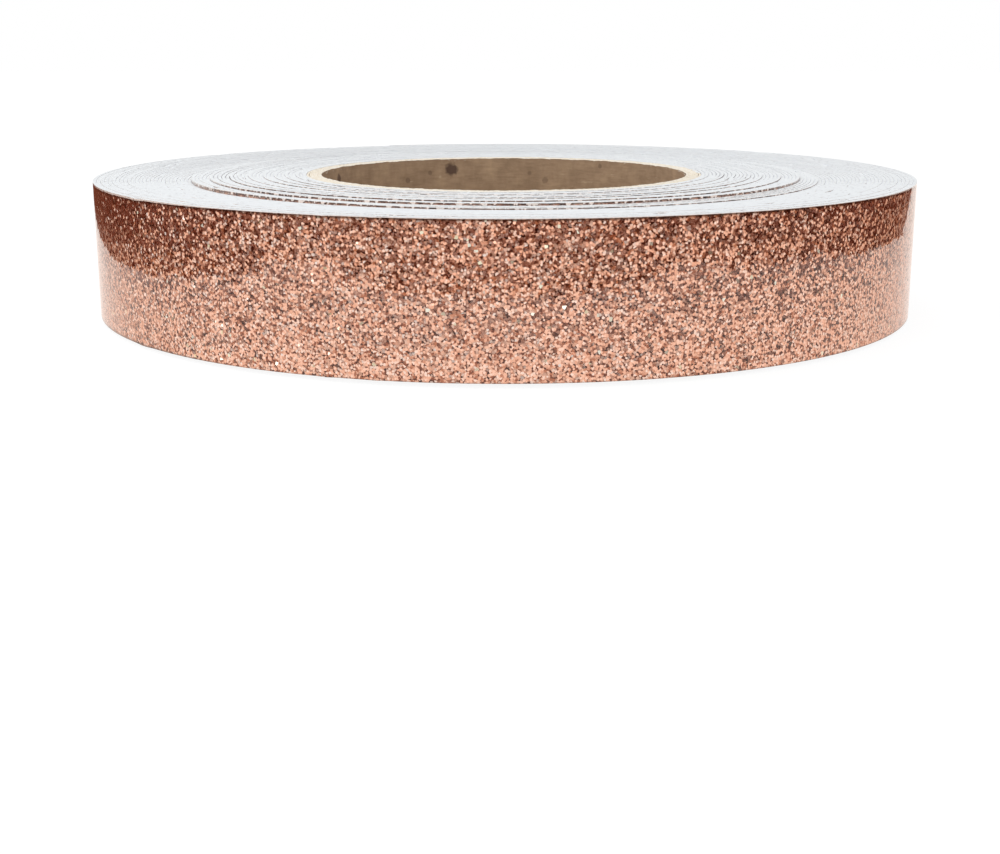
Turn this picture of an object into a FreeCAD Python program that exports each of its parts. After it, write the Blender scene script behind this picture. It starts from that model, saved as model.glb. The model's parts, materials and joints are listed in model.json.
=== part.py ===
import FreeCAD, Part
import math
import os
import Sketcher

# A roll of copper flake tape. One continuous web, flake film on a paper release liner, is wound
# flake side out on a spiral-wound cardboard core. The roll lies flat: +Z is its axis, and the
# origin is on that axis, in the plane of the core's lower end.
#
# The web follows a two-centre spiral: every half turn is an arc, the arcs above the X axis share
# one centre and those below it share another, a quarter of the pitch to either side of the axis.
# Winding angles count on from 0 at the lead end, by 360 for each turn, so a radius and a place
# both follow from one angle. Lengths are in millimetres and angles in degrees.

SIZES = [
    ("core_bore_dia", 76.2, "bore of the core, the three inch standard"),
    ("facing_ply", 0.5, "kraft ply on the core's inner and outer face"),
    ("body_ply", 0.4, "each chipboard ply between the two facings"),
    ("web_width", 26.6, "width of the tape"),
    ("liner_thick", 0.18, "release paper"),
    ("glue_line", 0.04, "adhesive between the release paper and the film"),
    ("film_thick", 0.42, "flake film with its clear coat"),
    ("turn_gap", 0.10, "air between one turn and the next"),
    ("full_turns", 57, "turns wound before the last part turn"),
    ("last_part_turn", 62, "angle of the last part turn, before the free end"),
    ("dish_depth", 0.8, "how far the lowest turn lies below the rim"),
    ("dish_turns", 27, "turns from the rim in to the lowest turn"),
    ("group_turns", 6, "turns in each sloping group between there and the core"),
    ("group_depth", 0.3, "how far the edge falls across one such group"),
    ("stretch_turns", 3, "turns that keep one height"),
    ("tab_length", 25, "adhesive tab under the lead end, along the core"),
    ("tab_thick", 0.15, "thickness of that tab"),
    ("tab_cover", 0.06, "clearance between the tab and the first turn"),
    ("free_length", 12, "each stretch of the free end, along the tape"),
    ("hinge_gap", 0.10, "gap between two stretches of the free end"),
]
BODY_PLIES = 5
FREE_STRETCHES = 5
FULL_TURN = 360
HALF_TURN = 180
UP = FreeCAD.Vector(0, 0, 1)

doc = FreeCAD.newDocument("copper_flake_tape_roll")


def make_sheet():
    """The spreadsheet of driving dimensions, one row for each size."""
    sheet = doc.addObject("Spreadsheet::Sheet", "sizes")
    for row, (alias, number, note) in enumerate(SIZES, start=1):
        sheet.set(f"A{row}", note)
        sheet.set(f"B{row}", str(number))
        sheet.setAlias(f"B{row}", alias)
    doc.recompute()
    return sheet


sheet = make_sheet()


def size(alias):
    """A driving dimension, as the sheet holds it."""
    return float(sheet.get(alias))


# ---------------------------------------------------------------- the web's spiral

CORE_WALL = 2 * size("facing_ply") + BODY_PLIES * size("body_ply")
CORE_RADIUS = size("core_bore_dia") / 2 + CORE_WALL
FILM_FOOT = size("liner_thick") + size("glue_line")
WEB_THICK = FILM_FOOT + size("film_thick")
PITCH = WEB_THICK + size("turn_gap")
FIRST_RADIUS = CORE_RADIUS + size("tab_thick") + size("tab_cover") + PITCH / 4
FULL_TURNS = round(size("full_turns"))
OUTER_RADIUS = FIRST_RADIUS + FULL_TURNS * PITCH + WEB_THICK
WOUND_END = FULL_TURN * FULL_TURNS + size("last_part_turn")
HALF_GAP = math.degrees(size("hinge_gap") / 2 / OUTER_RADIUS)


def arc_centre(half_turn):
    """The centre that a half turn's arcs share."""
    side = -1 if half_turn % 2 == 0 else 1
    return FreeCAD.Vector(side * PITCH / 4, 0, 0)


def spiral_radius(half_turn, out):
    """Radius of a half turn's arc, that far out from the web's inner face."""
    return FIRST_RADIUS + half_turn * PITCH / 2 + out


def spiral_point(angle, out):
    """The point at a winding angle, that far out from the web's inner face."""
    half_turn = int(angle // HALF_TURN)
    radius = spiral_radius(half_turn, out)
    turned = math.radians(angle % FULL_TURN)
    return arc_centre(half_turn) + FreeCAD.Vector(radius * math.cos(turned), radius * math.sin(turned), 0)


def spiral_arcs(start, end, out):
    """Arcs along the spiral from one winding angle to another, split at each half turn."""
    arcs = []
    for half_turn in range(int(start // HALF_TURN), math.ceil(end / HALF_TURN)):
        circle = Part.Circle(arc_centre(half_turn), UP, spiral_radius(half_turn, out))
        turns_before = FULL_TURN * (half_turn // 2)
        opens = max(start, HALF_TURN * half_turn) - turns_before
        closes = min(end, HALF_TURN * (half_turn + 1)) - turns_before
        arcs.append(Part.ArcOfCircle(circle, math.radians(opens), math.radians(closes)).toShape())
    return arcs


def web_strip(start, end, inner, outer, foot):
    """One layer of the web between two winding angles, standing on the height foot."""
    closing_line = Part.makeLine(spiral_point(end, inner), spiral_point(end, outer))
    opening_line = Part.makeLine(spiral_point(start, outer), spiral_point(start, inner))
    outline = spiral_arcs(start, end, inner) + [closing_line]
    outline += reversed(spiral_arcs(start, end, outer))
    strip = Part.Face(Part.Wire(outline + [opening_line])).extrude(UP * size("web_width"))
    strip.translate(UP * foot)
    return strip


def edge_drop(turns_in):
    """How far the web's edge lies below the rim, that many turns in from the outside."""
    if turns_in < size("dish_turns"):
        return size("dish_depth") * turns_in / size("dish_turns")
    into_group = (turns_in - size("dish_turns")) % size("group_turns")
    return size("group_depth") * into_group / size("group_turns")


def web_foot(turns_in):
    """Height of the web's lower edge, that many turns in from the outside."""
    return size("dish_depth") - edge_drop(turns_in)


def stretch_angles():
    """Winding angles between which the web keeps one height, from the rim to the core."""
    stretch = round(size("stretch_turns"))
    steps = [FULL_TURN * turn for turn in range(FULL_TURNS - stretch, 0, -stretch)]
    return [WOUND_END - HALF_GAP] + steps + [0]


def wound_layer(inner, outer):
    """All the wound turns of one layer, as one solid whose height steps between its stretches."""
    angles = stretch_angles()
    stretches = []
    for number, (end, start) in enumerate(zip(angles, angles[1:])):
        foot = web_foot(number * round(size("stretch_turns")))
        stretches.append(web_strip(start, end, inner, outer, foot))
    return stretches[0].multiFuse(stretches[1:])


# ---------------------------------------------------------------- sub-parts

parts = []


def add_core_ply(label, inner, outer):
    """A paper ply of the core: a plain tube between two radii, given as sheet expressions."""
    body = doc.addObject("PartDesign::Body", label)
    body.Label = label
    ring = body.newObject("Sketcher::SketchObject", label + "_section")
    plane = next(item for item in body.Origin.OriginFeatures if item.Role == "XY_Plane")
    ring.AttachmentSupport = [(plane, "")]
    ring.MapMode = "FlatFace"
    for name, expression, sketched in (("inner_radius", inner, 10), ("outer_radius", outer, 20)):
        circle = ring.addGeometry(Part.Circle(FreeCAD.Vector(), UP, sketched), False)
        ring.addConstraint(Sketcher.Constraint("Coincident", circle, 3, -1, 1))
        radius = ring.addConstraint(Sketcher.Constraint("Radius", circle, sketched))
        ring.renameConstraint(radius, name)
        ring.setExpression("Constraints." + name, expression)
    tube = body.newObject("PartDesign::Pad", label + "_tube")
    tube.Profile = ring
    tube.setExpression("Length", "sizes.web_width + sizes.dish_depth")
    body.Tip = tube
    parts.append(body)


def add_core():
    """The core's plies, from the bore out: a kraft facing, the chipboard plies, a kraft facing."""
    bore = "sizes.core_bore_dia / 2"
    body_start = bore + " + sizes.facing_ply"
    add_core_ply("core_inner_ply", bore, body_start)
    for number in range(1, BODY_PLIES + 1):
        inner = f"{body_start} + {number - 1} * sizes.body_ply"
        outer = f"{body_start} + {number} * sizes.body_ply"
        add_core_ply(f"core_body_ply_{number}", inner, outer)
    body_end = f"{body_start} + {BODY_PLIES} * sizes.body_ply"
    add_core_ply("core_outer_ply", body_end, body_end + " + sizes.facing_ply")


def add_lead_tab():
    """The double-sided tab that holds the web's lead end on the core."""
    core = f"(sizes.core_bore_dia / 2 + 2 * sizes.facing_ply + {BODY_PLIES} * sizes.body_ply)"
    solid = doc.addObject("Part::Cylinder", "tab_outside")
    hollow = doc.addObject("Part::Cylinder", "tab_inside")
    solid.setExpression("Radius", core + " + sizes.tab_thick")
    hollow.setExpression("Radius", core)
    for cylinder in (solid, hollow):
        cylinder.setExpression("Height", "sizes.web_width")
        cylinder.setExpression("Angle", f"sizes.tab_length / {core} * 180 / pi * 1 deg")
    tab = doc.addObject("Part::Cut", "lead_end_tab")
    tab.Label = "lead_end_tab"
    tab.Base = solid
    tab.Tool = hollow
    innermost = (len(stretch_angles()) - 2) * round(size("stretch_turns"))
    tab.Placement.Base = UP * web_foot(innermost)
    parts.append(tab)


def add_web_piece(label, shape):
    """A piece of the web, whose spiral has no primitive or sketch of its own."""
    piece = doc.addObject("Part::Feature", label)
    piece.Label = label
    piece.Shape = shape
    piece.Placement = FreeCAD.Placement()
    parts.append(piece)


def free_stretch(opens, turned, inner, outer):
    """A stretch of the free end, short of its neighbours by the gap at each hinge line."""
    return web_strip(opens + HALF_GAP, opens + turned - HALF_GAP, inner, outer, web_foot(0))


def add_web():
    """The wound turns of both layers, then the free end in short stretches that can hinge open.

    The liner's last stretch is twice as long, and the film's tip lies over its second half.
    """
    step = math.degrees(size("free_length") / OUTER_RADIUS)
    film = (FILM_FOOT, WEB_THICK)
    liner = (0, size("liner_thick"))
    add_web_piece("film_wound", wound_layer(*film))
    add_web_piece("liner_wound", wound_layer(*liner))
    for number in range(1, FREE_STRETCHES + 1):
        opens = WOUND_END + (number - 1) * step
        liner_steps = 2 if number == FREE_STRETCHES else 1
        add_web_piece(f"film_free_{number}", free_stretch(opens, step, *film))
        add_web_piece(f"liner_free_{number}", free_stretch(opens, liner_steps * step, *liner))
    add_web_piece("film_tip", free_stretch(WOUND_END + FREE_STRETCHES * step, step, *film))
    for number in range(FREE_STRETCHES + 1):
        line = spiral_point(WOUND_END + number * step, WEB_THICK)
        print(f"hinge line {number + 1}: x {line.x:.4f} y {line.y:.4f}")


def check(item):
    """Stop where an object or a sub-part's shape has failed."""
    if "Invalid" in item.State or "Error" in item.State:
        raise RuntimeError(f"{item.Label} failed: {item.State}")
    if item in parts and (item.Shape.isNull() or not item.Shape.isValid() or not item.Shape.Solids):
        raise RuntimeError(f"{item.Label} has no sound solid")


add_core()
add_lead_tab()
add_web()
doc.recompute()
for item in doc.Objects:
    check(item)
os.makedirs("parts", exist_ok=True)
for part in parts:
    part.Shape.exportStep(os.path.join("parts", part.Label + ".step"))
    print(part.Label, len(part.Shape.Solids), round(part.Shape.Volume, 2))
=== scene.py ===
import json
import math

import bpy
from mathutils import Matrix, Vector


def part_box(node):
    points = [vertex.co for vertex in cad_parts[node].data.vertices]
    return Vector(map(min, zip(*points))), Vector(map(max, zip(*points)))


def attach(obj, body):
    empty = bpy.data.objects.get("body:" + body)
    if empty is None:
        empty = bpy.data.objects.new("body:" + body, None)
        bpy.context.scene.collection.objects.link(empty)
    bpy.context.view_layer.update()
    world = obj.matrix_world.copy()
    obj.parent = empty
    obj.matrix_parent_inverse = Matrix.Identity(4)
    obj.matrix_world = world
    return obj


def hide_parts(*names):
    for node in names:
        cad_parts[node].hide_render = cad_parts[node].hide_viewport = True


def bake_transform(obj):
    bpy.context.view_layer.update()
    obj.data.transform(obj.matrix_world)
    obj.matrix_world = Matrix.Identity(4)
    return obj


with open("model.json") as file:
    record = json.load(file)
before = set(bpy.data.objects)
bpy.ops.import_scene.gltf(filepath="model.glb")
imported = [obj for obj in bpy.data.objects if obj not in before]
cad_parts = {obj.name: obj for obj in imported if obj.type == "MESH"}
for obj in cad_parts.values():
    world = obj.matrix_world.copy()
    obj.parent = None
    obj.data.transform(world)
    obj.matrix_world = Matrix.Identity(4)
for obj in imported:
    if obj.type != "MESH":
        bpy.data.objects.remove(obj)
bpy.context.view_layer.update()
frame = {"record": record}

# A roll of copper flake tape lying flat on white paper. The tape is one web, flake film on a paper
# release liner, wound on a cardboard core. Lengths are in metres, and MM turns a size in
# millimetres into metres. Places along the web are counted in turns from its inner end.

MM = 0.001
TURN = 2 * math.pi

# The winding, with the sizes of the solids it covers. The liner lies inside, from 0 to its own
# thickness, and the film outside it, from FILM_INNER to WEB_THICK.
PITCH = 0.74 * MM
FILM_INNER = 0.22 * MM
WEB_THICK = 0.64 * MM
LINER_THICK = 0.18 * MM
LEAD_GAP = 0.21 * MM
DISH_DEPTH = 0.8 * MM
WOUND_TURNS = 57 + 62 / 360
FREE_STRETCHES = 5
FREE_LENGTH = 12 * MM

# On the roll the layers are pressed closer than the solids, so that no light shows between them.
FILM_PRESSED = 0.05 * MM
LINER_PRESSED = 0.06 * MM

# Samples to each turn of the spiral. The film's inner turns show nicks, and the free end bends.
EVEN_SAMPLES = 300
NICKED_SAMPLES = 700
BENT_SAMPLES = 1200

CORE_FOOT, CORE_TOP = (corner[2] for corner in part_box("core_inner_ply"))
CORE_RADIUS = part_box("core_outer_ply")[1][0]
BORE_RADIUS = next(m for m in frame["record"]["mounts"] if m["name"] == "core_bore")["dims"]["r_mm"] * MM
WEB_WIDTH = CORE_TOP - CORE_FOOT - DISH_DEPTH
RIM_RADIUS = CORE_RADIUS + LEAD_GAP + PITCH * WOUND_TURNS + WEB_THICK
STRETCH = FREE_LENGTH / RIM_RADIUS / TURN
FACING_THICK = 0.5 * MM
BODY_PLY_THICK = 0.4 * MM
CORE_PLIES = ["core_inner_ply"] + [f"core_body_ply_{n}" for n in range(1, 6)] + ["core_outer_ply"]

# How the web's edge rises and falls across the end face: turns in from the rim, and height above
# the lowest turn as a share of the dish's depth. The web dishes inwards from the rim, then climbs
# back in steps a few turns apart. Round the sheer side the first step is nearly the whole climb.
STEPPED_EDGE = [(0, 1.0), (1.9, 0.90), (2.1, 0.98), (4.9, 0.88), (5.1, 0.95), (8.9, 0.78), (9.1, 0.84),
                (18, 0.42), (25.9, 0.02), (26.1, 0.26), (30.9, 0.42), (31.1, 0.92), (35.9, 0.66),
                (36.1, 0.98), (40.4, 0.80), (40.6, 0.97), (43.9, 0.80), (44.1, 1.0), (47.9, 0.86),
                (48.1, 0.98), (50.9, 0.82), (51.1, 0.98), (54.4, 0.86), (54.6, 1.0), (57.2, 0.90)]
SHEER_EDGE = [(0, 1.0), (1.9, 0.90), (2.1, 0.98), (4.9, 0.88), (5.1, 0.95), (8.9, 0.78), (9.1, 0.84),
              (18, 0.42), (25.9, 0.02), (26.1, 0.90), (28.4, 0.76), (28.6, 0.84), (30.9, 0.46),
              (31.1, 1.0), (33.4, 0.80), (33.6, 0.98), (35.9, 0.66), (36.1, 0.98), (38.4, 0.80),
              (38.6, 0.97), (41.4, 0.78), (41.6, 0.98), (44.9, 0.72), (45.1, 1.0), (47.9, 0.84),
              (48.1, 0.97), (50.9, 0.80), (51.1, 0.98), (54.4, 0.82), (54.6, 1.0), (57.2, 0.88)]
SHEER_SIDE = math.radians(207)
SHEER_FOCUS = 8.0
DISHED_TURNS = 26.0
STEP_TURN = WOUND_TURNS - DISHED_TURNS

# Smaller unevenness of the edge: a slow wave, slips of part of a turn, and nicks from the blade.
WAVE_HEIGHT = 0.06 * MM
WAVE_CHANGE = 0.22
SLIP_DEPTH = 0.24 * MM
SLIPS_ROUND = 11
SLIP_CHANGE = 1.7
SLIP_STARTS, SLIP_FULL = 0.63, 0.69
NICK_LENGTH = 1.6 * MM
NICK_DEPTH = 0.12 * MM

# The web's lead end: the share of a turn in which the first turn climbs over it, and how much
# longer the climb is at each turn that follows.
LEAD_CLIMB = 0.06
CLIMB_GROWTH = 1.12


def linear(colour):
    """An sRGB hex colour as linear RGBA."""
    channels = [int(colour[i:i + 2], 16) / 255 for i in (1, 3, 5)]
    return [c / 12.92 if c <= 0.04045 else ((c + 0.055) / 1.055) ** 2.4 for c in channels] + [1.0]


def add(tree, kind, inputs=(), stops=(), **settings):
    """Add a node with its settings and colour stops. Its inputs, by order or name, are set or linked."""
    node = tree.nodes.new(kind)
    for name, value in settings.items():
        setattr(node, name, value)
    for place, colour in stops:
        spare = node.color_ramp.elements
        if place == stops[0][0]:
            stop = spare[0]
        elif place == stops[-1][0]:
            stop = spare[-1]
        else:
            stop = spare.new(place)
        stop.position = place
        stop.color = linear(colour)
    for socket, value in (inputs if isinstance(inputs, dict) else dict(enumerate(inputs))).items():
        if isinstance(value, bpy.types.Node):
            value = value.outputs[0]
        if isinstance(value, bpy.types.NodeSocket):
            tree.links.new(value, node.inputs[socket])
        else:
            node.inputs[socket].default_value = value
    return node


def new_material(name):
    """An empty material with its output, and the tree they live in."""
    material = bpy.data.materials.new(name)
    material.use_nodes = True
    tree = material.node_tree
    tree.nodes.clear()
    return material, tree


# ---------------------------------------------------------------- materials

FLAKE_SIZE = 0.5 * MM
# The flake tones are partly the copper's own colour and partly painted reflection: each flake's tilt is
# painted as a lighter or darker colour, and the flakes underneath are painted darker as shade.
FLAKE_TONES_WITH_PAINTED_SHINE = [(0.0, "#8a4a30"), (0.12, "#b87758"), (0.2, "#f0b598"), (0.6, "#ffceb5"), (1.0, "#ffe9dc")]
UNDER_FLAKE_TONES_WITH_PAINTED_SHADE = [(0.0, "#3c180b"), (0.3, "#7a4029"), (0.5, "#cb8e72"), (1.0, "#f6c6ac")]
# Painted highlights: pale colours given to a small share of the flakes.
PAINTED_GLINT_TONES = [(0.0, "#ffe9bd"), (0.6, "#fff6da"), (1.0, "#fff9e6")]
PAINTED_GLINT_SHARE = 0.0065
FLAT_TILT = 0.2
COAT_WAVES = (0.06, 0.06, 0.06)

# The film beside its slit edges: a dark band, partly crushed flakes and partly painted shade, narrower at
# the lower edge, and a pale ragged lip that grows wider at the roll's two sides, where the widening is
# painted sheen.
CRUSHED_AND_SHADED_BAND = 0.6 * MM
LOWER_NARROWER = 0.34 * MM
LIP_RAGGED = 0.14 * MM
PAINTED_SHEEN_WIDENING = 0.25 * MM
PAINTED_SHEEN_CENTRE = 9 * MM
LIP_AND_EDGE_SHADE_TONES = [(0.0, "#fbf1e8"), (0.13, "#f3e2d7"), (0.22, "#341c13"), (1.0, "#4a2b1c")]
# Adhesive smears over the band, up to this length in metres from the web's inner end.
SMEAR_WIDTH = 0.4 * MM
SMEARED_LENGTH = 21.6


def flake_film():
    """Polyester film over copper glitter: separate bright facets on dark ones, under one smooth gloss."""
    material, tree = new_material("copper_glitter_film")
    web = add(tree, "ShaderNodeUVMap", uv_map="web")
    top = add(tree, "ShaderNodeTexVoronoi", {"Vector": web, "Scale": 1 / FLAKE_SIZE},
              voronoi_dimensions="2D")
    low = add(tree, "ShaderNodeTexVoronoi", {"Vector": web, "Scale": 1.5 / FLAKE_SIZE},
              voronoi_dimensions="2D")
    chance = add(tree, "ShaderNodeSeparateColor", {"Color": top.outputs["Color"]})
    low_chance = add(tree, "ShaderNodeSeparateColor", {"Color": low.outputs["Color"]})
    bright = add(tree, "ShaderNodeValToRGB", {"Fac": chance.outputs[0]}, FLAKE_TONES_WITH_PAINTED_SHINE)
    dark = add(tree, "ShaderNodeValToRGB", {"Fac": low_chance.outputs[0]}, UNDER_FLAKE_TONES_WITH_PAINTED_SHADE)
    # Between the flakes that lie on top, the ones under them show in darker tones of painted shade, and some
    # lap over them.
    lapped = add(tree, "ShaderNodeMath", (low_chance.outputs[1], 0.4, top.outputs["Distance"]),
                 operation="MULTIPLY_ADD")
    between = add(tree, "ShaderNodeMapRange", {"Value": lapped, "From Min": 0.61, "From Max": 0.72})
    colour = add(tree, "ShaderNodeMix", {0: between, 6: bright, 7: dark}, data_type="RGBA").outputs[2]
    # One flake in about a hundred and fifty gets a painted highlight, a pale colour for a flake that faces
    # the light squarely.
    painted_glint_mask = add(tree, "ShaderNodeMath", (chance.outputs[2], 1 - PAINTED_GLINT_SHARE), operation="GREATER_THAN")
    painted_glint_tone = add(tree, "ShaderNodeValToRGB", {"Fac": chance.outputs[1]}, PAINTED_GLINT_TONES)
    colour = add(tree, "ShaderNodeMix", {0: painted_glint_mask, 6: colour, 7: painted_glint_tone}, data_type="RGBA").outputs[2]
    # The slitter leaves a pale lip along the upper edge and crushes the flakes beside both edges; the dark
    # band beside the edges is partly that and partly painted shade.
    place = add(tree, "ShaderNodeSeparateXYZ", {"Vector": web}).outputs
    above = add(tree, "ShaderNodeMath", (WEB_WIDTH, place["Y"]), operation="SUBTRACT")
    below = add(tree, "ShaderNodeMath", (place["Y"], LOWER_NARROWER), operation="ADD")
    inset = add(tree, "ShaderNodeMath", (below, above), operation="MINIMUM")
    ragged = add(tree, "ShaderNodeTexNoise", {"Vector": web, "Scale": 1 / (1.4 * MM), "Detail": 2.0})
    inset = add(tree, "ShaderNodeMath", (ragged, -LIP_RAGGED, inset), operation="MULTIPLY_ADD")
    # On the turns inside the lip is thin, and pale adhesive smears over the dark band here and there.
    smeared = add(tree, "ShaderNodeTexNoise", {"W": place["X"], "Scale": 1 / (1.1 * MM), "Detail": 2.0},
                  noise_dimensions="1D")
    smeared = add(tree, "ShaderNodeMapRange",
                  {"Value": smeared, "From Min": 0.53, "From Max": 0.65, "To Min": -0.16, "To Max": 1.0})
    inside = add(tree, "ShaderNodeMapRange",
                 {"Value": place["X"], "From Min": SMEARED_LENGTH, "From Max": SMEARED_LENGTH + 0.3,
                  "To Min": SMEAR_WIDTH, "To Max": 0.0})
    smeared = add(tree, "ShaderNodeMath", (smeared, inside), operation="MULTIPLY")
    inset = add(tree, "ShaderNodeMath", (inset, smeared), operation="SUBTRACT")
    # A painted sheen widens the pale lip at the roll's two sides, and for longer on the left.
    spot = add(tree, "ShaderNodeTexCoord").outputs["Object"]
    aside = add(tree, "ShaderNodeSeparateXYZ", {"Vector": spot}).outputs["X"]
    aside = add(tree, "ShaderNodeMath", (aside, PAINTED_SHEEN_CENTRE), operation="SUBTRACT")
    aside = add(tree, "ShaderNodeMath", (aside,), operation="ABSOLUTE")
    painted_side_sheen = add(tree, "ShaderNodeMapRange",
                  {"Value": aside, "From Min": 54 * MM, "From Max": 76 * MM, "To Max": PAINTED_SHEEN_WIDENING})
    inset = add(tree, "ShaderNodeMath", (inset, painted_side_sheen), operation="SUBTRACT")
    inset = add(tree, "ShaderNodeMapRange",
                {"Value": inset, "From Min": -0.1 * MM, "From Max": CRUSHED_AND_SHADED_BAND})
    lip_and_edge_shade = add(tree, "ShaderNodeValToRGB", {"Fac": inset}, LIP_AND_EDGE_SHADE_TONES)
    # Beside the edges the flakes are darkened: partly crushed flakes, partly painted shade.
    crushed_and_shaded = add(tree, "ShaderNodeMapRange",
                  {"Value": inset, "From Min": 0.35, "From Max": 0.95, "To Min": 0.8, "To Max": 0.0})
    metal = add(tree, "ShaderNodeMapRange",
                {"Value": inset, "From Min": 0.14, "From Max": 0.2, "To Max": 0.95})
    colour = add(tree, "ShaderNodeMix", {0: crushed_and_shaded, 6: colour, 7: lip_and_edge_shade}, data_type="RGBA").outputs[2]
    # Most flakes lie nearly flat and a few stand at a tilt. The clear coat over them is a little wavy.
    facing = add(tree, "ShaderNodeNewGeometry").outputs["Normal"]
    tilt = add(tree, "ShaderNodeVectorMath", (top.outputs["Color"], (0.5, 0.5, 0.5)), operation="SUBTRACT")
    stand = add(tree, "ShaderNodeTexWhiteNoise", {"Vector": top.outputs["Color"]})
    stand = add(tree, "ShaderNodeMath", (stand, 2.5), operation="POWER")
    stand = add(tree, "ShaderNodeMath", (stand, FLAT_TILT), operation="ADD")
    tilted = add(tree, "ShaderNodeVectorMath", (tilt, stand, facing), operation="MULTIPLY_ADD")
    tilted = add(tree, "ShaderNodeVectorMath", (tilted,), operation="NORMALIZE")
    waves = add(tree, "ShaderNodeTexNoise", {"Vector": web, "Scale": 1 / (1.6 * MM), "Detail": 2.0})
    wavy = add(tree, "ShaderNodeVectorMath", (waves.outputs["Color"], (0.5, 0.5, 0.5)), operation="SUBTRACT")
    wavy = add(tree, "ShaderNodeVectorMath", (wavy, COAT_WAVES, facing), operation="MULTIPLY_ADD")
    wavy = add(tree, "ShaderNodeVectorMath", (wavy,), operation="NORMALIZE")
    film = add(tree, "ShaderNodeBsdfPrincipled", {
        "Base Color": colour, "Metallic": metal, "Roughness": 0.22, "Specular Tint": linear("#e4cabb"),
        "Normal": tilted, "Coat Weight": 1.0, "Coat Roughness": 0.03, "Coat IOR": 1.55,
        "Coat Normal": wavy})
    add(tree, "ShaderNodeOutputMaterial", {"Surface": film})
    return material


def slit_edge():
    """The film's slit edge: white adhesive and backing, a little greyer in dashes along the nicks."""
    material, tree = new_material("slit_film_edge")
    web = add(tree, "ShaderNodeUVMap", uv_map="web")
    along = add(tree, "ShaderNodeSeparateXYZ", {"Vector": web}).outputs["X"]
    nicks = add(tree, "ShaderNodeTexNoise", {"W": along, "Scale": 1 / NICK_LENGTH, "Detail": 2.0},
                noise_dimensions="1D")
    nicked = add(tree, "ShaderNodeValToRGB", {"Fac": nicks},
                 [(0.25, "#d0cfcf"), (0.4, "#eff2f2"), (1.0, "#f7f9f9")])
    place = add(tree, "ShaderNodeTexCoord").outputs["Object"]
    grain = add(tree, "ShaderNodeTexNoise", {"Vector": place, "Scale": 1 / (0.5 * MM), "Detail": 3.0})
    bump = add(tree, "ShaderNodeBump", {"Height": grain, "Strength": 0.3, "Distance": 0.04 * MM})
    edge = add(tree, "ShaderNodeBsdfPrincipled", {"Base Color": nicked, "Roughness": 0.5, "Normal": bump})
    add(tree, "ShaderNodeOutputMaterial", {"Surface": edge})
    return material


def release_paper():
    """Bleached glassine coated with silicone: a cool white with a faint fibre cloud and a soft sheen."""
    material, tree = new_material("release_paper")
    place = add(tree, "ShaderNodeTexCoord").outputs["Object"]
    cloud = add(tree, "ShaderNodeTexNoise", {"Vector": place, "Scale": 1 / (3 * MM), "Detail": 5.0})
    colour = add(tree, "ShaderNodeValToRGB", {"Fac": cloud}, [(0.3, "#e9ecf0"), (0.7, "#f4f6f8")])
    fibre = add(tree, "ShaderNodeTexNoise", {"Vector": place, "Scale": 1 / (0.4 * MM), "Detail": 3.0})
    bump = add(tree, "ShaderNodeBump", {"Height": fibre, "Strength": 0.15, "Distance": 0.03 * MM})
    paper = add(tree, "ShaderNodeBsdfPrincipled", {"Base Color": colour, "Roughness": 0.55, "Normal": bump})
    add(tree, "ShaderNodeOutputMaterial", {"Surface": paper})
    return material


# Marks on the bore's wall: degrees round from +X, height above the foot, radius, strength and colour.
BORE_MARKS = [(108.9, 24.8 * MM, 1.5 * MM, 0.9, "#4a3224"), (161.5, 24.8 * MM, 1.0 * MM, 0.85, "#50382a"),
              (125.8, 22.8 * MM, 0.6 * MM, 0.5, "#5c4433"), (117.1, 24.2 * MM, 0.5 * MM, 0.45, "#5c4433"),
              (75.7, 22.3 * MM, 0.7 * MM, 0.4, "#5c4433"), (81.1, 23.9 * MM, 0.5 * MM, 0.4, "#5c4433"),
              (54.8, 26.0 * MM, 0.5 * MM, 0.5, "#5c4433"), (113.2, 23.2 * MM, 0.35 * MM, 0.6, "#b9a184")]


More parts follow.
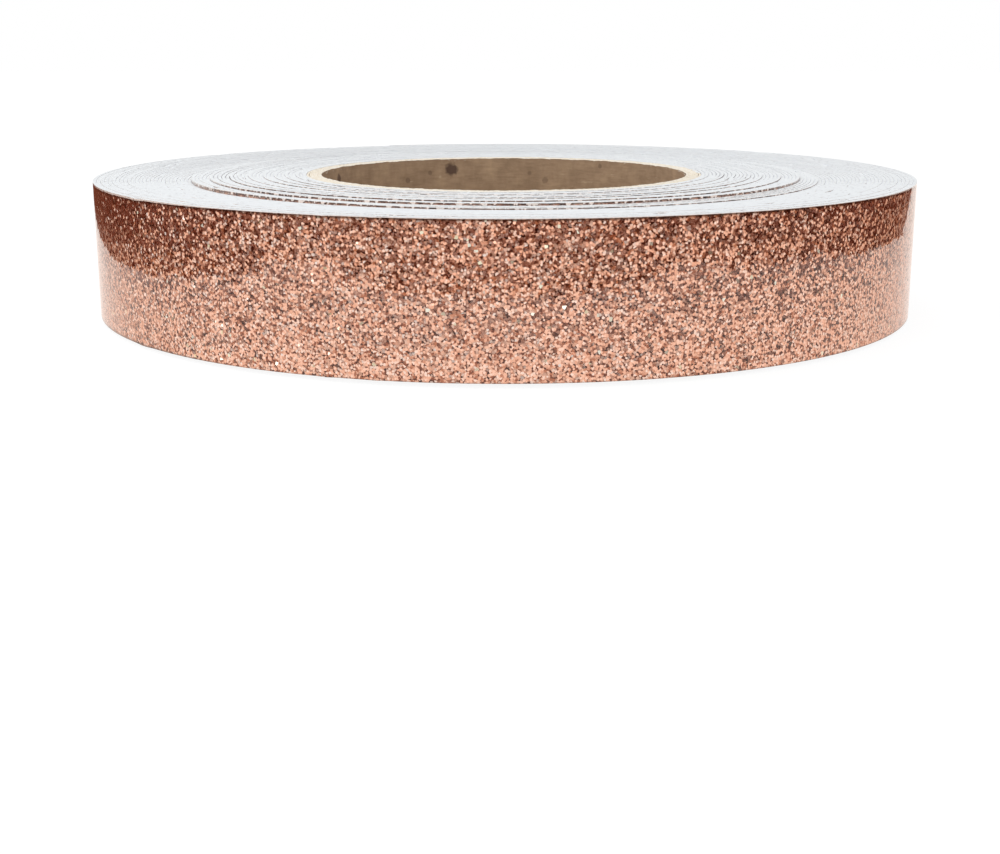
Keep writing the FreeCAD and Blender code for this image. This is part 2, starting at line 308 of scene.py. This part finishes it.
def kraft_facing():
    """Unbleached kraft paper wound on a helix: brown and cloudy, with long fibres, scuffs and spots."""
    material, tree = new_material("kraft_facing")
    place = add(tree, "ShaderNodeTexCoord").outputs["Object"]
    cloud = add(tree, "ShaderNodeTexNoise",
                {"Vector": place, "Scale": 1 / (4 * MM), "Detail": 6.0, "Roughness": 0.6})
    colour = add(tree, "ShaderNodeValToRGB", {"Fac": cloud},
                 [(0.3, "#8c7156"), (0.5, "#9b7f63"), (0.7, "#ac8f70")])
    # Fibres lie along the web of paper, which climbs the core at about thirty degrees.
    along = add(tree, "ShaderNodeMapping",
                {"Vector": place, "Rotation": (0, math.radians(30), 0), "Scale": (0.25, 0.25, 1.6)})
    fibres = add(tree, "ShaderNodeTexNoise", {"Vector": along, "Scale": 1 / (0.8 * MM), "Detail": 4.0})
    fibre_tone = add(tree, "ShaderNodeValToRGB", {"Fac": fibres}, [(0.3, "#cfc9c2"), (0.62, "#ffffff")])
    colour = add(tree, "ShaderNodeMix", {0: 0.4, 6: colour, 7: fibre_tone}, data_type="RGBA",
                 blend_type="MULTIPLY").outputs[2]
    # Pale scuffs where the winder's mandrel slid out.
    scuffs = add(tree, "ShaderNodeTexNoise",
                 {"Vector": along, "Scale": 1 / (2.4 * MM), "Detail": 6.0, "Roughness": 0.75})
    scuffed = add(tree, "ShaderNodeMapRange",
                  {"Value": scuffs, "From Min": 0.63, "From Max": 0.72, "To Max": 0.6})
    colour = add(tree, "ShaderNodeMix", {0: scuffed, 6: colour, 7: linear("#c9b192")},
                 data_type="RGBA").outputs[2]
    wobble = add(tree, "ShaderNodeTexNoise", {"Vector": place, "Scale": 1 / (1.1 * MM), "Detail": 2.0})
    for degrees, height, radius, strength, mark in BORE_MARKS:
        turned = math.radians(degrees)
        centre = (BORE_RADIUS * math.cos(turned), BORE_RADIUS * math.sin(turned), height)
        away = add(tree, "ShaderNodeVectorMath", (place, centre), operation="DISTANCE").outputs["Value"]
        away = add(tree, "ShaderNodeMath", (wobble, 1.2 * radius, away), operation="MULTIPLY_ADD")
        spot = add(tree, "ShaderNodeMapRange",
                   {"Value": away, "From Min": 1.3 * radius, "From Max": 1.8 * radius,
                    "To Min": strength, "To Max": 0.0})
        colour = add(tree, "ShaderNodeMix", {0: spot, 6: colour, 7: linear(mark)},
                     data_type="RGBA").outputs[2]
    bump = add(tree, "ShaderNodeBump", {"Height": fibres, "Strength": 0.5, "Distance": 0.08 * MM})
    kraft = add(tree, "ShaderNodeBsdfPrincipled", {"Base Color": colour, "Roughness": 0.82, "Normal": bump})
    add(tree, "ShaderNodeOutputMaterial", {"Surface": kraft})
    return material


def chipboard():
    """Sawn greyboard plies: cream and furry, with torn fibre."""
    material, tree = new_material("sawn_chipboard")
    place = add(tree, "ShaderNodeTexCoord").outputs["Object"]
    fibre = add(tree, "ShaderNodeTexNoise", {"Vector": place, "Scale": 1 / (0.5 * MM), "Detail": 5.0})
    colour = add(tree, "ShaderNodeValToRGB", {"Fac": fibre},
                 [(0.3, "#e0d2ba"), (0.5, "#efe5d4"), (0.7, "#f7f1e7")])
    bump = add(tree, "ShaderNodeBump", {"Height": fibre, "Strength": 0.7, "Distance": 0.12 * MM})
    board = add(tree, "ShaderNodeBsdfPrincipled", {"Base Color": colour, "Roughness": 0.9, "Normal": bump})
    add(tree, "ShaderNodeOutputMaterial", {"Surface": board})
    return material


def adhesive_tab():
    """Double-sided tape: pale, slightly yellow acrylic adhesive with a soft shine."""
    material, tree = new_material("acrylic_adhesive_tab")
    place = add(tree, "ShaderNodeTexCoord").outputs["Object"]
    cloud = add(tree, "ShaderNodeTexNoise", {"Vector": place, "Scale": 1 / (2 * MM), "Detail": 3.0})
    colour = add(tree, "ShaderNodeValToRGB", {"Fac": cloud}, [(0.3, "#dcd6c4"), (0.7, "#efeadb")])
    tab = add(tree, "ShaderNodeBsdfPrincipled", {"Base Color": colour, "Roughness": 0.35})
    add(tree, "ShaderNodeOutputMaterial", {"Surface": tab})
    return material


FLAKE_FILM = flake_film()
SLIT_EDGE = slit_edge()
RELEASE_PAPER = release_paper()
KRAFT = kraft_facing()
CHIPBOARD = chipboard()
TAB = adhesive_tab()


# ---------------------------------------------------------------- Geometry Nodes

def open_tree(name, values):
    """A Geometry Nodes tree with a named input for each value, and its inputs' sockets."""
    tree = bpy.data.node_groups.new(name, "GeometryNodeTree")
    tree.is_modifier = True
    tree.interface.new_socket("Shape", in_out="OUTPUT", socket_type="NodeSocketGeometry")
    for label, value in values.items():
        kind = {int: "NodeSocketInt", float: "NodeSocketFloat"}.get(type(value), "NodeSocketMaterial")
        socket = tree.interface.new_socket(label, in_out="INPUT", socket_type=kind)
        if kind != "NodeSocketMaterial":
            socket.default_value = value
    return tree, add(tree, "NodeGroupInput").outputs


def strip_tree():
    """A strip of the web wound on its spiral, from one turn to another, with a rectangular section."""
    tree, given = open_tree("wound_strip", {
        "First turn": 0.0, "Last turn": 1.0, "Inner face": 0.0, "Outer face": WEB_THICK,
        "Lead radius": CORE_RADIUS + LEAD_GAP, "Pitch": PITCH, "Web width": WEB_WIDTH, "Nick depth": 0.0,
        "Wound turns": WOUND_TURNS, "Dish depth": DISH_DEPTH, "Waviness": WAVE_HEIGHT,
        "Unevenness": -SLIP_DEPTH, "Lead climb": LEAD_CLIMB, "Samples": 100,
        "Face material": None, "Edge material": None})

    # The path: one point per sample, and the turn that each stands at.
    line = add(tree, "GeometryNodeMeshLine", {"Count": given["Samples"]})
    path = add(tree, "GeometryNodeMeshToCurve", {"Mesh": line})
    index = add(tree, "GeometryNodeInputIndex")
    last = add(tree, "ShaderNodeMath", (given["Samples"], 1.0), operation="SUBTRACT")
    span = add(tree, "ShaderNodeMath", (given["Last turn"], given["First turn"]), operation="SUBTRACT")
    share = add(tree, "ShaderNodeMath", (index, last), operation="DIVIDE")
    turn = add(tree, "ShaderNodeMath", (share, span, given["First turn"]), operation="MULTIPLY_ADD")
    angle = add(tree, "ShaderNodeMath", (turn, TURN), operation="MULTIPLY")
    across = add(tree, "ShaderNodeMath", (angle,), operation="COSINE")
    along = add(tree, "ShaderNodeMath", (angle,), operation="SINE")

    # The lead end beds into the core's outer ply, and each turn climbs over it. The climb is short at
    # first and spreads out turn by turn until the winding is an even spiral.
    past = add(tree, "ShaderNodeMath", (turn, given["Lead climb"]), operation="SUBTRACT")
    part = add(tree, "ShaderNodeMath", (past,), operation="FRACT")
    whole = add(tree, "ShaderNodeMath", (past,), operation="FLOOR")
    ramp = add(tree, "ShaderNodeMath", (CLIMB_GROWTH, whole), operation="POWER")
    ramp = add(tree, "ShaderNodeMath", (ramp, given["Lead climb"]), operation="MULTIPLY")
    ramp = add(tree, "ShaderNodeMath", (ramp, 1.0), operation="MINIMUM")
    left = add(tree, "ShaderNodeMath", (1.0, part), operation="SUBTRACT")
    left = add(tree, "ShaderNodeMath", (left, ramp), operation="DIVIDE")
    climbed = add(tree, "ShaderNodeMath", (1.0, left), operation="SUBTRACT", use_clamp=True)
    layers = add(tree, "ShaderNodeMath", (whole, climbed), operation="ADD")
    middle = add(tree, "ShaderNodeMath", (given["Inner face"], given["Outer face"]), operation="ADD")
    middle = add(tree, "ShaderNodeMath", (middle, 0.5, given["Lead radius"]), operation="MULTIPLY_ADD")
    radius = add(tree, "ShaderNodeMath", (layers, given["Pitch"], middle), operation="MULTIPLY_ADD")

    # The edge's height: the dish and its steps, a slow wave round the roll, and short stretches of a turn
    # that have slipped down.
    turns_in = add(tree, "ShaderNodeMath", (given["Wound turns"], turn), operation="SUBTRACT")
    turns_in = add(tree, "ShaderNodeMath", (turns_in, 0.0), operation="MAXIMUM")
    inwards = add(tree, "ShaderNodeMath", (turns_in, given["Wound turns"]), operation="DIVIDE")
    rises = []
    for profile in (STEPPED_EDGE, SHEER_EDGE):
        curve = add(tree, "ShaderNodeFloatCurve", {"Value": inwards})
        points = curve.mapping.curves[0].points
        while len(points) < len(profile):
            points.new(0.5, 0.5)
        for point, (turns, share_up) in zip(points, profile):
            point.location = (min(turns / WOUND_TURNS, 1.0), share_up)
            point.handle_type = "VECTOR"
        curve.mapping.update()
        rises.append(curve)
    stepped, sheer = rises
    side = add(tree, "ShaderNodeMath", (angle, SHEER_SIDE), operation="SUBTRACT")
    side = add(tree, "ShaderNodeMath", (side,), operation="COSINE")
    side = add(tree, "ShaderNodeMath", (side, 0.5, 0.5), operation="MULTIPLY_ADD")
    side = add(tree, "ShaderNodeMath", (side, SHEER_FOCUS), operation="POWER")
    rise = add(tree, "ShaderNodeMix", {0: side, 2: stepped, 3: sheer})
    slow = add(tree, "ShaderNodeMath", (turn, WAVE_CHANGE), operation="MULTIPLY")
    place = add(tree, "ShaderNodeCombineXYZ", (across, along, slow))
    wave = add(tree, "ShaderNodeTexNoise", {"Vector": place, "Scale": 1.0, "Detail": 1.0})
    place = add(tree, "ShaderNodeCombineXYZ", (across, along, 0.0))
    place = add(tree, "ShaderNodeVectorMath", (place, (SLIPS_ROUND, SLIPS_ROUND, 0)), operation="MULTIPLY")
    changing = add(tree, "ShaderNodeMath", (turn, SLIP_CHANGE), operation="MULTIPLY")
    drift = add(tree, "ShaderNodeTexNoise", {"Vector": place, "W": changing, "Scale": 1.0, "Detail": 2.0},
                noise_dimensions="4D")
    drift = add(tree, "ShaderNodeMapRange", {"Value": drift, "From Min": SLIP_STARTS, "From Max": SLIP_FULL})
    # Noise strays from its middle by about a quarter to either side.
    wave = add(tree, "ShaderNodeMath", (wave, 0.5), operation="SUBTRACT")
    wave = add(tree, "ShaderNodeMath", (wave, given["Waviness"]), operation="MULTIPLY")
    wave = add(tree, "ShaderNodeMath", (wave, 4.0), operation="MULTIPLY")
    uneven = add(tree, "ShaderNodeMath", (drift, given["Unevenness"], wave), operation="MULTIPLY_ADD")
    # Towards the rim the edge is more even.
    settled = add(tree, "ShaderNodeMapRange", {"Value": turns_in, "From Max": DISHED_TURNS, "To Min": 0.5})
    uneven = add(tree, "ShaderNodeMath", (uneven, settled), operation="MULTIPLY")
    grown = add(tree, "ShaderNodeMath", (turn, given["Pitch"]), operation="MULTIPLY")
    mean = add(tree, "ShaderNodeMath", (grown, 0.5, given["Lead radius"]), operation="MULTIPLY_ADD")
    length = add(tree, "ShaderNodeMath", (angle, mean), operation="MULTIPLY")
    nicks = add(tree, "ShaderNodeTexNoise", {"W": length, "Scale": 1 / NICK_LENGTH, "Detail": 1.0},
                noise_dimensions="1D")
    nicks = add(tree, "ShaderNodeMath", (nicks, 0.5), operation="SUBTRACT")
    uneven = add(tree, "ShaderNodeMath", (nicks, given["Nick depth"], uneven), operation="MULTIPLY_ADD")
    foot = add(tree, "ShaderNodeMath", (rise, given["Dish depth"], uneven), operation="MULTIPLY_ADD")
    foot = add(tree, "ShaderNodeMath", (foot, 0.0), operation="MAXIMUM")
    foot = add(tree, "ShaderNodeMath", (foot, given["Dish depth"]), operation="MINIMUM")

    # Length along the web and the height of its foot stay with the path for the sweep.
    carried = add(tree, "ShaderNodeCombineXYZ", (length, foot, 0.0))
    path = add(tree, "GeometryNodeStoreNamedAttribute",
               {"Geometry": path, "Name": "carried", "Value": carried}, data_type="FLOAT_VECTOR")
    height = add(tree, "ShaderNodeMath", (given["Web width"], 0.5, foot), operation="MULTIPLY_ADD")
    out_x = add(tree, "ShaderNodeMath", (radius, across), operation="MULTIPLY")
    out_y = add(tree, "ShaderNodeMath", (radius, along), operation="MULTIPLY")
    where = add(tree, "ShaderNodeCombineXYZ", (out_x, out_y, height))
    path = add(tree, "GeometryNodeSetPosition", {"Geometry": path, "Position": where})
    path = add(tree, "GeometryNodeSetCurveNormal", {"Curve": path}, mode="Z_UP")

    # The section, swept along the path.
    thick = add(tree, "ShaderNodeMath", (given["Outer face"], given["Inner face"]), operation="SUBTRACT")
    section = add(tree, "GeometryNodeCurvePrimitiveQuadrilateral",
                  {"Width": thick, "Height": given["Web width"]})
    strip = add(tree, "GeometryNodeCurveToMesh",
                {"Curve": path, "Profile Curve": section, "Fill Caps": True})

    # Faces that look outwards are the coated face, and the rest is slit edge or backing.
    spot = add(tree, "GeometryNodeInputPosition")
    level = add(tree, "ShaderNodeVectorMath", (spot, (1, 1, 0)), operation="MULTIPLY")
    outwards = add(tree, "ShaderNodeVectorMath", (level,), operation="NORMALIZE")
    facing = add(tree, "GeometryNodeInputNormal")
    agree = add(tree, "ShaderNodeVectorMath", (outwards, facing), operation="DOT_PRODUCT").outputs["Value"]
    coated = add(tree, "ShaderNodeMath", (agree, 0.9), operation="GREATER_THAN")
    strip = add(tree, "GeometryNodeSetMaterial", {"Geometry": strip, "Material": given["Edge material"]})
    strip = add(tree, "GeometryNodeSetMaterial",
                {"Geometry": strip, "Selection": coated, "Material": given["Face material"]})

    # Length along the web and height across it, for patterns that follow the tape.
    carried = add(tree, "GeometryNodeInputNamedAttribute", {"Name": "carried"}, data_type="FLOAT_VECTOR")
    carried = add(tree, "ShaderNodeSeparateXYZ", (carried,))
    tall = add(tree, "ShaderNodeSeparateXYZ", (spot,)).outputs["Z"]
    tall = add(tree, "ShaderNodeMath", (tall, carried.outputs["Y"]), operation="SUBTRACT")
    web = add(tree, "ShaderNodeCombineXYZ", (carried.outputs["X"], tall, 0.0))
    strip = add(tree, "GeometryNodeStoreNamedAttribute", {"Geometry": strip, "Name": "web", "Value": web},
                data_type="FLOAT2", domain="CORNER")
    strip = add(tree, "GeometryNodeRemoveAttribute", {"Geometry": strip, "Name": "carried"})
    strip = add(tree, "GeometryNodeSetShadeSmooth", {"Geometry": strip, "Shade Smooth": True})
    bend = add(tree, "GeometryNodeInputMeshEdgeAngle")
    crease = add(tree, "ShaderNodeMath", (bend, math.radians(25)), operation="GREATER_THAN")
    strip = add(tree, "GeometryNodeSetShadeSmooth",
                {"Geometry": strip, "Selection": crease, "Shade Smooth": False}, domain="EDGE")
    strip = add(tree, "GeometryNodeRealizeInstances", {"Geometry": strip})
    add(tree, "NodeGroupOutput", (strip,))
    return tree


def ply_tree():
    """One ply of the core: a tube whose sawn rims are ragged and pushed outwards a little."""
    tree, given = open_tree("core_ply", {
        "Inner radius": BORE_RADIUS, "Outer radius": CORE_RADIUS, "Foot": CORE_FOOT, "Top": CORE_TOP,
        "Raggedness": 0.22 * MM, "Flare": 0.0, "Pattern": 0.0, "Segments": 720, "Wall material": None,
        "Rim material": None})
    middle = add(tree, "ShaderNodeMath", (given["Inner radius"], given["Outer radius"]), operation="ADD")
    middle = add(tree, "ShaderNodeMath", (middle, 0.5), operation="MULTIPLY")
    ring = add(tree, "GeometryNodeCurvePrimitiveCircle", {"Resolution": given["Segments"], "Radius": middle})
    thick = add(tree, "ShaderNodeMath", (given["Outer radius"], given["Inner radius"]), operation="SUBTRACT")
    tall = add(tree, "ShaderNodeMath", (given["Top"], given["Foot"]), operation="SUBTRACT")
    section = add(tree, "GeometryNodeCurvePrimitiveQuadrilateral", {"Width": thick, "Height": tall})
    section = add(tree, "GeometryNodeFilletCurve",
                  {"Curve": section, "Count": 1, "Radius": 0.08 * MM, "Limit Radius": True}, mode="POLY")
    ring = add(tree, "GeometryNodeSetCurveNormal", {"Curve": ring}, mode="Z_UP")
    tube = add(tree, "GeometryNodeCurveToMesh", {"Curve": ring, "Profile Curve": section})
    level = add(tree, "ShaderNodeMath", (tall, 0.5, given["Foot"]), operation="MULTIPLY_ADD")
    shift = add(tree, "ShaderNodeCombineXYZ", (0.0, 0.0, level))
    tube = add(tree, "GeometryNodeSetPosition", {"Geometry": tube, "Offset": shift})

    # Rims sink by a ragged amount, never rising past the solid's ends.
    spot = add(tree, "GeometryNodeInputPosition")
    parts = add(tree, "ShaderNodeSeparateXYZ", (spot,))
    upper = add(tree, "ShaderNodeMath", (parts.outputs["Z"], level), operation="GREATER_THAN")
    flip = add(tree, "ShaderNodeMath", (upper, -2.0, 1.0), operation="MULTIPLY_ADD")
    rough = add(tree, "ShaderNodeTexNoise",
                {"Vector": spot, "W": given["Pattern"], "Scale": 1 / (2.2 * MM), "Detail": 5.0,
                 "Roughness": 0.75}, noise_dimensions="4D")
    rough = add(tree, "ShaderNodeMapRange", {"Value": rough, "From Min": 0.3, "From Max": 0.7})
    sink = add(tree, "ShaderNodeMath", (rough, given["Raggedness"]), operation="MULTIPLY")
    sink = add(tree, "ShaderNodeMath", (sink, flip), operation="MULTIPLY")
    outwards = add(tree, "ShaderNodeVectorMath", (spot, (1, 1, 0)), operation="MULTIPLY")
    outwards = add(tree, "ShaderNodeVectorMath", (outwards,), operation="NORMALIZE")
    flare = add(tree, "ShaderNodeVectorMath", {0: outwards, "Scale": given["Flare"]}, operation="SCALE")
    drop = add(tree, "ShaderNodeCombineXYZ", (0.0, 0.0, sink))
    move = add(tree, "ShaderNodeVectorMath", (flare, drop), operation="ADD")
    tube = add(tree, "GeometryNodeSetPosition", {"Geometry": tube, "Offset": move})
    facing = add(tree, "ShaderNodeSeparateXYZ", (add(tree, "GeometryNodeInputNormal"),))
    lie = add(tree, "ShaderNodeMath", (facing.outputs["Z"],), operation="ABSOLUTE")
    rim = add(tree, "ShaderNodeMath", (lie, 0.3), operation="GREATER_THAN")
    tube = add(tree, "GeometryNodeSetMaterial", {"Geometry": tube, "Material": given["Wall material"]})
    tube = add(tree, "GeometryNodeSetMaterial",
               {"Geometry": tube, "Selection": rim, "Material": given["Rim material"]})
    tube = add(tree, "GeometryNodeRealizeInstances", {"Geometry": tube})
    add(tree, "NodeGroupOutput", (tube,))
    return tree


def fibre_tree():
    """Torn paper fibres that stand out of the core's sawn rim, over the bore."""
    tree, given = open_tree("torn_fibres", {
        "Ring radius": BORE_RADIUS, "Spread": 0.5 * MM, "Level": CORE_TOP, "Count": 300, "Seed": 3,
        "Fibre length": 0.55 * MM, "Fibre radius": 0.07 * MM, "Fibre material": None})
    ring = add(tree, "GeometryNodeCurvePrimitiveCircle", {"Resolution": 512, "Radius": given["Ring radius"]})
    spots = add(tree, "GeometryNodeResampleCurve", {"Curve": ring, "Count": given["Count"]})
    jitter = add(tree, "FunctionNodeRandomValue", {0: (-1, -1, -0.4), 1: (1, 1, 0), "Seed": given["Seed"]},
                 data_type="FLOAT_VECTOR")
    jitter = add(tree, "ShaderNodeVectorMath", {0: jitter, "Scale": given["Spread"]}, operation="SCALE")
    lift = add(tree, "ShaderNodeCombineXYZ", (0.0, 0.0, given["Level"]))
    move = add(tree, "ShaderNodeVectorMath", (jitter, lift), operation="ADD")
    spots = add(tree, "GeometryNodeSetPosition", {"Geometry": spots, "Offset": move})
    spots = add(tree, "GeometryNodeCurveToPoints", {"Curve": spots}, mode="EVALUATED")
    fibre = add(tree, "GeometryNodeMeshCone",
                {"Vertices": 5, "Radius Top": 0.3, "Radius Bottom": 1.0, "Depth": 1.0})
    turned = add(tree, "FunctionNodeRandomValue",
                 {0: (0.9, -0.6, 0), 1: (2.2, 0.6, TURN), "Seed": given["Seed"]}, data_type="FLOAT_VECTOR")
    size = add(tree, "FunctionNodeRandomValue", {2: 0.4, 3: 1.0, "Seed": given["Seed"]},
               data_type="FLOAT").outputs[1]
    wide = add(tree, "ShaderNodeMath", (size, given["Fibre radius"]), operation="MULTIPLY")
    long = add(tree, "ShaderNodeMath", (size, given["Fibre length"]), operation="MULTIPLY")
    scale = add(tree, "ShaderNodeCombineXYZ", (wide, wide, long))
    tufts = add(tree, "GeometryNodeInstanceOnPoints",
                {"Points": spots, "Instance": fibre, "Rotation": turned, "Scale": scale})
    tufts = add(tree, "GeometryNodeRealizeInstances", {"Geometry": tufts})
    tufts = add(tree, "GeometryNodeSetMaterial", {"Geometry": tufts, "Material": given["Fibre material"]})
    add(tree, "NodeGroupOutput", (tufts,))
    return tree


def grow(name, tree, values):
    """A plain mesh object from a Geometry Nodes tree and values for its named inputs."""
    seed = bpy.data.objects.new(name + "_seed", bpy.data.meshes.new(name + "_seed"))
    bpy.context.scene.collection.objects.link(seed)
    modifier = seed.modifiers.new("grow", "NODES")
    modifier.node_group = tree
    for item in tree.interface.items_tree:
        if item.item_type == "SOCKET" and item.in_out == "INPUT" and item.name in values:
            modifier[item.identifier] = values[item.name]
    seen = seed.evaluated_get(bpy.context.evaluated_depsgraph_get())
    mesh = bpy.data.meshes.new_from_object(seen)
    mesh.name = name
    bpy.data.objects.remove(seed)
    piece = bpy.data.objects.new(name, mesh)
    bpy.context.scene.collection.objects.link(piece)
    return piece


# ---------------------------------------------------------------- the tape

STRIP = strip_tree()
FILM = {"Inner face": FILM_INNER, "Outer face": WEB_THICK, "Face material": FLAKE_FILM,
        "Edge material": SLIT_EDGE}
LINER = {"Inner face": 0.0, "Outer face": LINER_THICK, "Face material": RELEASE_PAPER,
         "Edge material": RELEASE_PAPER}


def wind(name, layer, first, last, per_turn):
    """A stretch of one layer of the web, with so many samples to a turn."""
    samples = max(12, round((last - first) * per_turn)) + 1
    return grow(name, STRIP, {**layer, "First turn": first, "Last turn": last, "Samples": samples})


def wound_turns():
    """All the turns that stay on the roll, film and liner, pressed closer than the free end.

    The film's inner turns show nicks at their edge, and need finer samples than the rest."""
    film = {**FILM, "Inner face": FILM_INNER - FILM_PRESSED}
    liner = {**LINER, "Inner face": -LINER_PRESSED, "Outer face": FILM_INNER - LINER_PRESSED}
    spans = {"inner": (0.0, STEP_TURN), "outer": (STEP_TURN, WOUND_TURNS - STRETCH / 2)}
    for name, layer, node, slot in (("film", film, "film_wound", "flake_film"),
                                    ("liner", liner, "liner_wound", "release_liner")):
        for part, (first, last) in spans.items():
            nicked = (name, part) == ("film", "inner")
            values = {**layer, "Nick depth": NICK_DEPTH if nicked else 0.0}
            per_turn = NICKED_SAMPLES if nicked else EVEN_SAMPLES
            piece = wind(f"{name}_{part}_turns", values, first, last, per_turn)
            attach(piece, "roll")
            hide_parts(node)


def bend(name, layer, first, last, number, bodies, node):
    """A stretch of the free end across a hinge line, wound on the spiral, with its placing baked into the
    mesh.
    """
    piece = wind(name, layer, first, last, BENT_SAMPLES)
    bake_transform(piece)
    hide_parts(node)


def free_end():
    """The tape's free end: pieces that cross each hinge line, from mid stretch to mid stretch, wound on
    along the spiral up to the tip."""
    bodies = ["roll"] + [f"free_end_{n}" for n in range(1, FREE_STRETCHES + 1)] + ["film_tip"]
    tail = WOUND_TURNS + (FREE_STRETCHES + 1) * STRETCH
    for number in range(1, FREE_STRETCHES + 2):
        first = WOUND_TURNS + (number - 1.5) * STRETCH
        pair = bodies[number - 1:number + 1]
        tip = number == FREE_STRETCHES + 1
        bend(f"film_bend_{number}", FILM, first, tail if tip else first + STRETCH, number, pair,
             "film_tip" if tip else f"film_free_{number}")
        if not tip:
            bend(f"liner_bend_{number}", LINER, first, tail if number == FREE_STRETCHES else first + STRETCH,
                 number, pair, f"liner_free_{number}")


# ---------------------------------------------------------------- the core

def core():
    """The core's plies, kraft on the two facings and chipboard between, with torn fibre on the rims."""
    tube = ply_tree()
    for number, node in enumerate(CORE_PLIES):
        low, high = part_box(node)
        inner = BORE_RADIUS if number == 0 else BORE_RADIUS + FACING_THICK + BODY_PLY_THICK * (number - 1)
        facing = node in ("core_inner_ply", "core_outer_ply")
        ply = grow(node + "_sawn", tube, {
            "Inner radius": inner, "Outer radius": high[0], "Foot": low[2], "Top": high[2],
            "Flare": 0.1 * MM if node == "core_outer_ply" else 0.0, "Pattern": 3.7 * number,
            "Wall material": KRAFT if facing else CHIPBOARD, "Rim material": CHIPBOARD})
        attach(ply, "roll")
        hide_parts(node)
    fibres = fibre_tree()
    for name, level, seed in (("upper_torn_fibres", CORE_TOP - 0.35 * MM, 3),
                              ("lower_torn_fibres", CORE_FOOT + 0.6 * MM, 8)):
        tufts = grow(name, fibres, {"Ring radius": BORE_RADIUS + 0.35 * MM, "Level": level, "Seed": seed,
                                    "Fibre material": CHIPBOARD})
        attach(tufts, "roll")
    tab = bpy.data.objects["lead_end_tab"]
    tab.data.materials.clear()
    tab.data.materials.append(TAB)


# ---------------------------------------------------------------- the stage

def pale_floor():
    """White paper under the roll on a brown bench, both white to the camera but for the shadow."""
    paper = [(-151, -170), (130, -170), (189, -64), (188, 30), (176, 80), (230, 210), (330, 430),
             (-150, 430), (-150, 130), (-151, 72)]
    bench = [(-2000, -2000), (2000, -2000), (2000, 2000), (-2000, 2000)]
    for name, corners, level, colour, glow, mirrored in (("paper_sheet", paper, -0.02, "#f6f6f4", 0.85, 1.0),
                                                         ("bench_top", bench, -0.4, "#703a28", 1.0, 0.0)):
        mesh = bpy.data.meshes.new(name)
        mesh.from_pydata([(x * MM, y * MM, level * MM) for x, y in corners], [], [range(len(corners))])
        floor = bpy.data.objects.new(name, mesh)
        bpy.context.scene.collection.objects.link(floor)
        material, tree = new_material(name)
        ray = add(tree, "ShaderNodeLightPath").outputs
        seen = add(tree, "ShaderNodeMath", (ray["Is Glossy Ray"], mirrored, ray["Is Camera Ray"]),
                   operation="MULTIPLY_ADD", use_clamp=True)
        matt = add(tree, "ShaderNodeBsdfDiffuse", {"Color": linear(colour)})
        # In the film's gloss the paper glows with a painted warm tint, which stands for the light that the
        # copper throws on it.
        painted_bounce_tint = add(tree, "ShaderNodeMix",
                   {0: ray["Is Camera Ray"], 6: linear("#fff2ea"), 7: linear("#ffffff")},
                   data_type="RGBA").outputs[2]
        white = add(tree, "ShaderNodeEmission", {"Color": painted_bounce_tint, "Strength": 1.06})
        share = add(tree, "ShaderNodeMath", (seen, glow), operation="MULTIPLY")
        shown = add(tree, "ShaderNodeMixShader", (share, matt, white))
        add(tree, "ShaderNodeOutputMaterial", {"Surface": shown})
        mesh.materials.append(material)


def lights():
    """A white room, brown along the near wall's foot, and one wide soft lamp overhead."""
    world = bpy.data.worlds.new("white_room")
    world.use_nodes = True
    tree = world.node_tree
    tree.nodes.clear()
    heading = add(tree, "ShaderNodeTexCoord").outputs["Generated"]
    leaned = add(tree, "ShaderNodeVectorMath", (heading, (-0.08, -0.16, 1.0)),
                 operation="DOT_PRODUCT").outputs["Value"]
    leaned = add(tree, "ShaderNodeMath", (leaned, 0.08), operation="ADD")
    level = add(tree, "ShaderNodeValToRGB", {"Fac": leaned},
                [(0.0, "#4e2618"), (0.26, "#603626"), (0.4, "#f0f2f4"), (1.0, "#f4f6f8")])
    seen = add(tree, "ShaderNodeLightPath").outputs["Is Camera Ray"]
    room = add(tree, "ShaderNodeBackground", {"Color": level, "Strength": 1.0})
    white = add(tree, "ShaderNodeBackground", {"Color": (1, 1, 1, 1), "Strength": 1.0})
    shown = add(tree, "ShaderNodeMixShader", (seen, room, white))
    add(tree, "ShaderNodeOutputWorld", {"Surface": shown})
    bpy.context.scene.world = world
    lamp = bpy.data.lights.new("overhead_softbox", "AREA")
    lamp.shape = "RECTANGLE"
    lamp.size = 0.9
    lamp.size_y = 0.9
    lamp.energy = 2.8
    holder = bpy.data.objects.new("overhead_softbox", lamp)
    holder.location = (-0.3, -0.15, 0.85)
    holder.rotation_euler = (math.radians(-9), math.radians(-19), 0)
    bpy.context.scene.collection.objects.link(holder)


def camera():
    """The viewpoint: close to the roll and a little above its upper face."""
    lens = bpy.data.cameras.new("bench_camera")
    lens.lens = 54.8
    lens.sensor_width = 36
    lens.clip_start = 0.01
    holder = bpy.data.objects.new("bench_camera", lens)
    holder.location = (1.8 * MM, -323.5 * MM, CORE_TOP + 28.1 * MM)
    holder.rotation_euler = (math.radians(90 - 14.48), 0, math.radians(0.46))
    bpy.context.scene.collection.objects.link(holder)
    bpy.context.scene.camera = holder


bpy.context.scene.view_settings.view_transform = "Standard"
camera()
lights()
pale_floor()
wound_turns()
free_end()
core()
